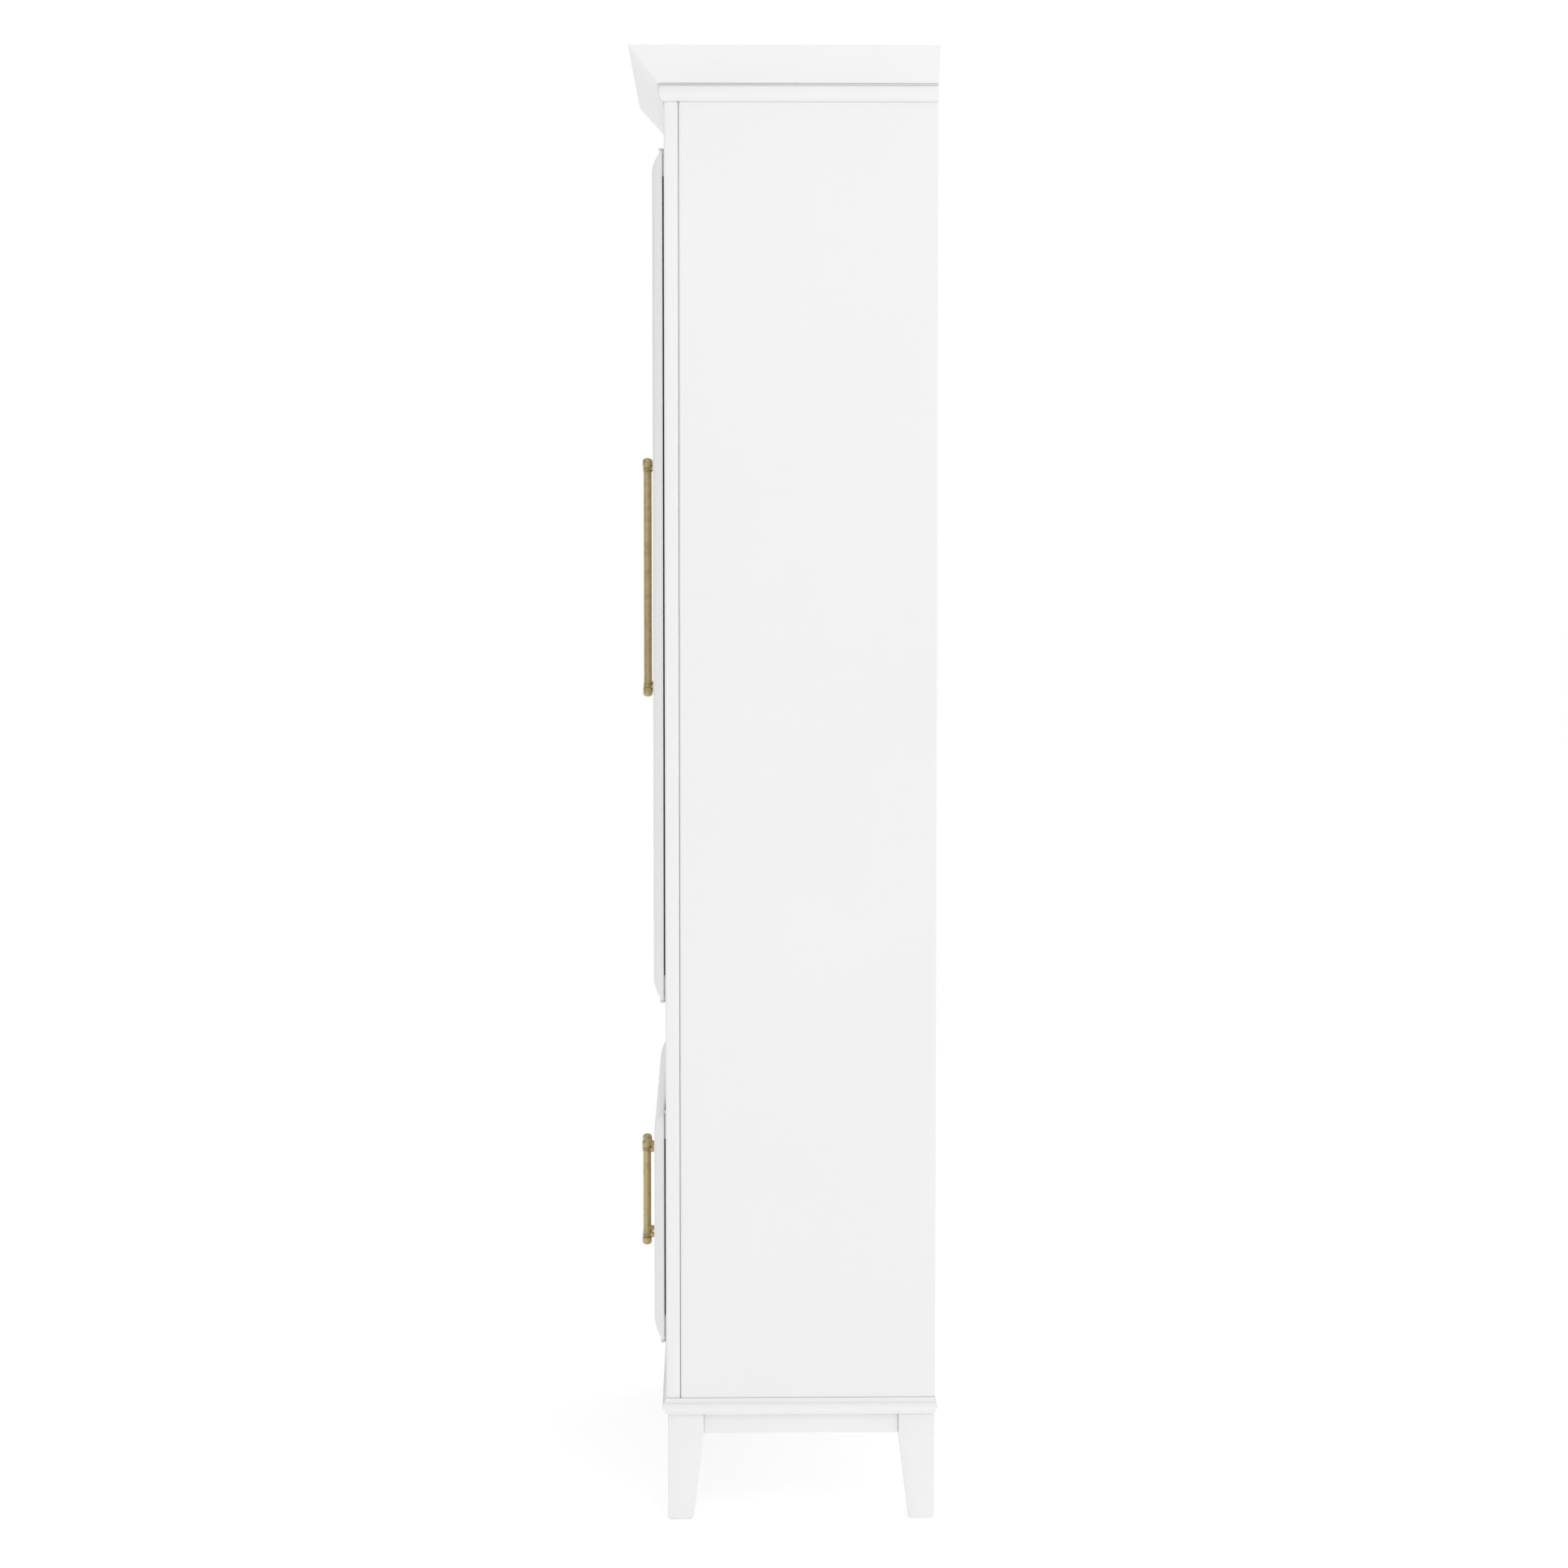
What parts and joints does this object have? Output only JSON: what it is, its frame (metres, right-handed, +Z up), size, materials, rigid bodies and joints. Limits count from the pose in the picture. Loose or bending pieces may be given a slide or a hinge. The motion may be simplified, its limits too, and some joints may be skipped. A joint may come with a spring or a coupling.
{
  "type": "armoire",
  "caption": "Tall painted armoire with flared crown, moulded base, tapered legs, long doors over short doors, and brass bar pulls.",
  "frame": {"origin": "on the floor, under the middle of the armoire's outline", "axes": "+Z up, front towards -Y, +X to the right of someone facing the front"},
  "size_m": [0.865, 0.425, 2.032],
  "materials": {
    "white_paint": "satin white paint on wood and board",
    "inside_paint": "satin off-white paint",
    "back_board": "matt painted thin board",
    "pull_brass": "antique brass, brushed and lightly darkened",
    "hinge_paint": "white powder-coated steel plate",
    "catch_plastic": "matt white moulded plastic"
  },
  "bodies": {
    "root": {"apron_front": "white_paint", "apron_left": "white_paint", "apron_rear": "white_paint", "apron_right": "white_paint", "back_panel": "back_board", "base_board": "white_paint", "catch_lower": "catch_plastic", "catch_upper": "catch_plastic", "crown_cap_board": "white_paint", "crown_front": "white_paint", "crown_left": "white_paint", "crown_rear_rail": "white_paint", "crown_right": "white_paint", "hinge_frame_leaf_lower_left_bottom": "hinge_paint", "hinge_frame_leaf_lower_left_top": "hinge_paint", "hinge_frame_leaf_lower_right_bottom": "hinge_paint", "hinge_frame_leaf_lower_right_top": "hinge_paint", "hinge_frame_leaf_upper_left_bottom": "hinge_paint", "hinge_frame_leaf_upper_left_top": "hinge_paint", "hinge_frame_leaf_upper_right_bottom": "hinge_paint", "hinge_frame_leaf_upper_right_top": "hinge_paint", "leg_front_left": "white_paint", "leg_front_right": "white_paint", "leg_rear_left": "white_paint", "leg_rear_right": "white_paint", "panel_bottom": "inside_paint", "panel_divider": "inside_paint", "panel_top": "inside_paint", "rail_bottom": "white_paint", "rail_middle": "white_paint", "rail_top": "white_paint", "shelf_lower_1": "inside_paint", "shelf_upper_1": "inside_paint", "shelf_upper_2": "inside_paint", "shelf_upper_3": "inside_paint", "side_panel_left": "white_paint", "side_panel_right": "white_paint", "stile_left": "white_paint", "stile_right": "white_paint", "top_bead_front": "white_paint", "top_bead_left": "white_paint", "top_bead_right": "white_paint"},
    "door_upper_left": {"door_upper_left": "white_paint", "pull_upper_left": "pull_brass", "hinge_door_leaf_upper_left_top": "hinge_paint", "hinge_door_leaf_upper_left_bottom": "hinge_paint"},
    "door_upper_right": {"door_upper_right": "white_paint", "pull_upper_right": "pull_brass", "hinge_door_leaf_upper_right_top": "hinge_paint", "hinge_door_leaf_upper_right_bottom": "hinge_paint"},
    "door_lower_left": {"door_lower_left": "white_paint", "pull_lower_left": "pull_brass", "hinge_door_leaf_lower_left_top": "hinge_paint", "hinge_door_leaf_lower_left_bottom": "hinge_paint"},
    "door_lower_right": {"door_lower_right": "white_paint", "pull_lower_right": "pull_brass", "hinge_door_leaf_lower_right_top": "hinge_paint", "hinge_door_leaf_lower_right_bottom": "hinge_paint"}
  },
  "joints": [
    {"name": "door_upper_left_swing", "type": "hinge", "parent": "root", "child": "door_upper_left", "pos_m": [-0.363, -0.1695, 1.3115], "axis": [0, 0, -1], "range_deg": [0, 110]},
    {"name": "door_upper_right_swing", "type": "hinge", "parent": "root", "child": "door_upper_right", "pos_m": [0.363, -0.1695, 1.3115], "axis": [0, 0, 1], "range_deg": [0, 110]},
    {"name": "door_lower_left_swing", "type": "hinge", "parent": "root", "child": "door_lower_left", "pos_m": [-0.363, -0.1695, 0.4085], "axis": [0, 0, -1], "range_deg": [0, 110]},
    {"name": "door_lower_right_swing", "type": "hinge", "parent": "root", "child": "door_lower_right", "pos_m": [0.363, -0.1695, 0.4085], "axis": [0, 0, 1], "range_deg": [0, 110]}
  ]
}
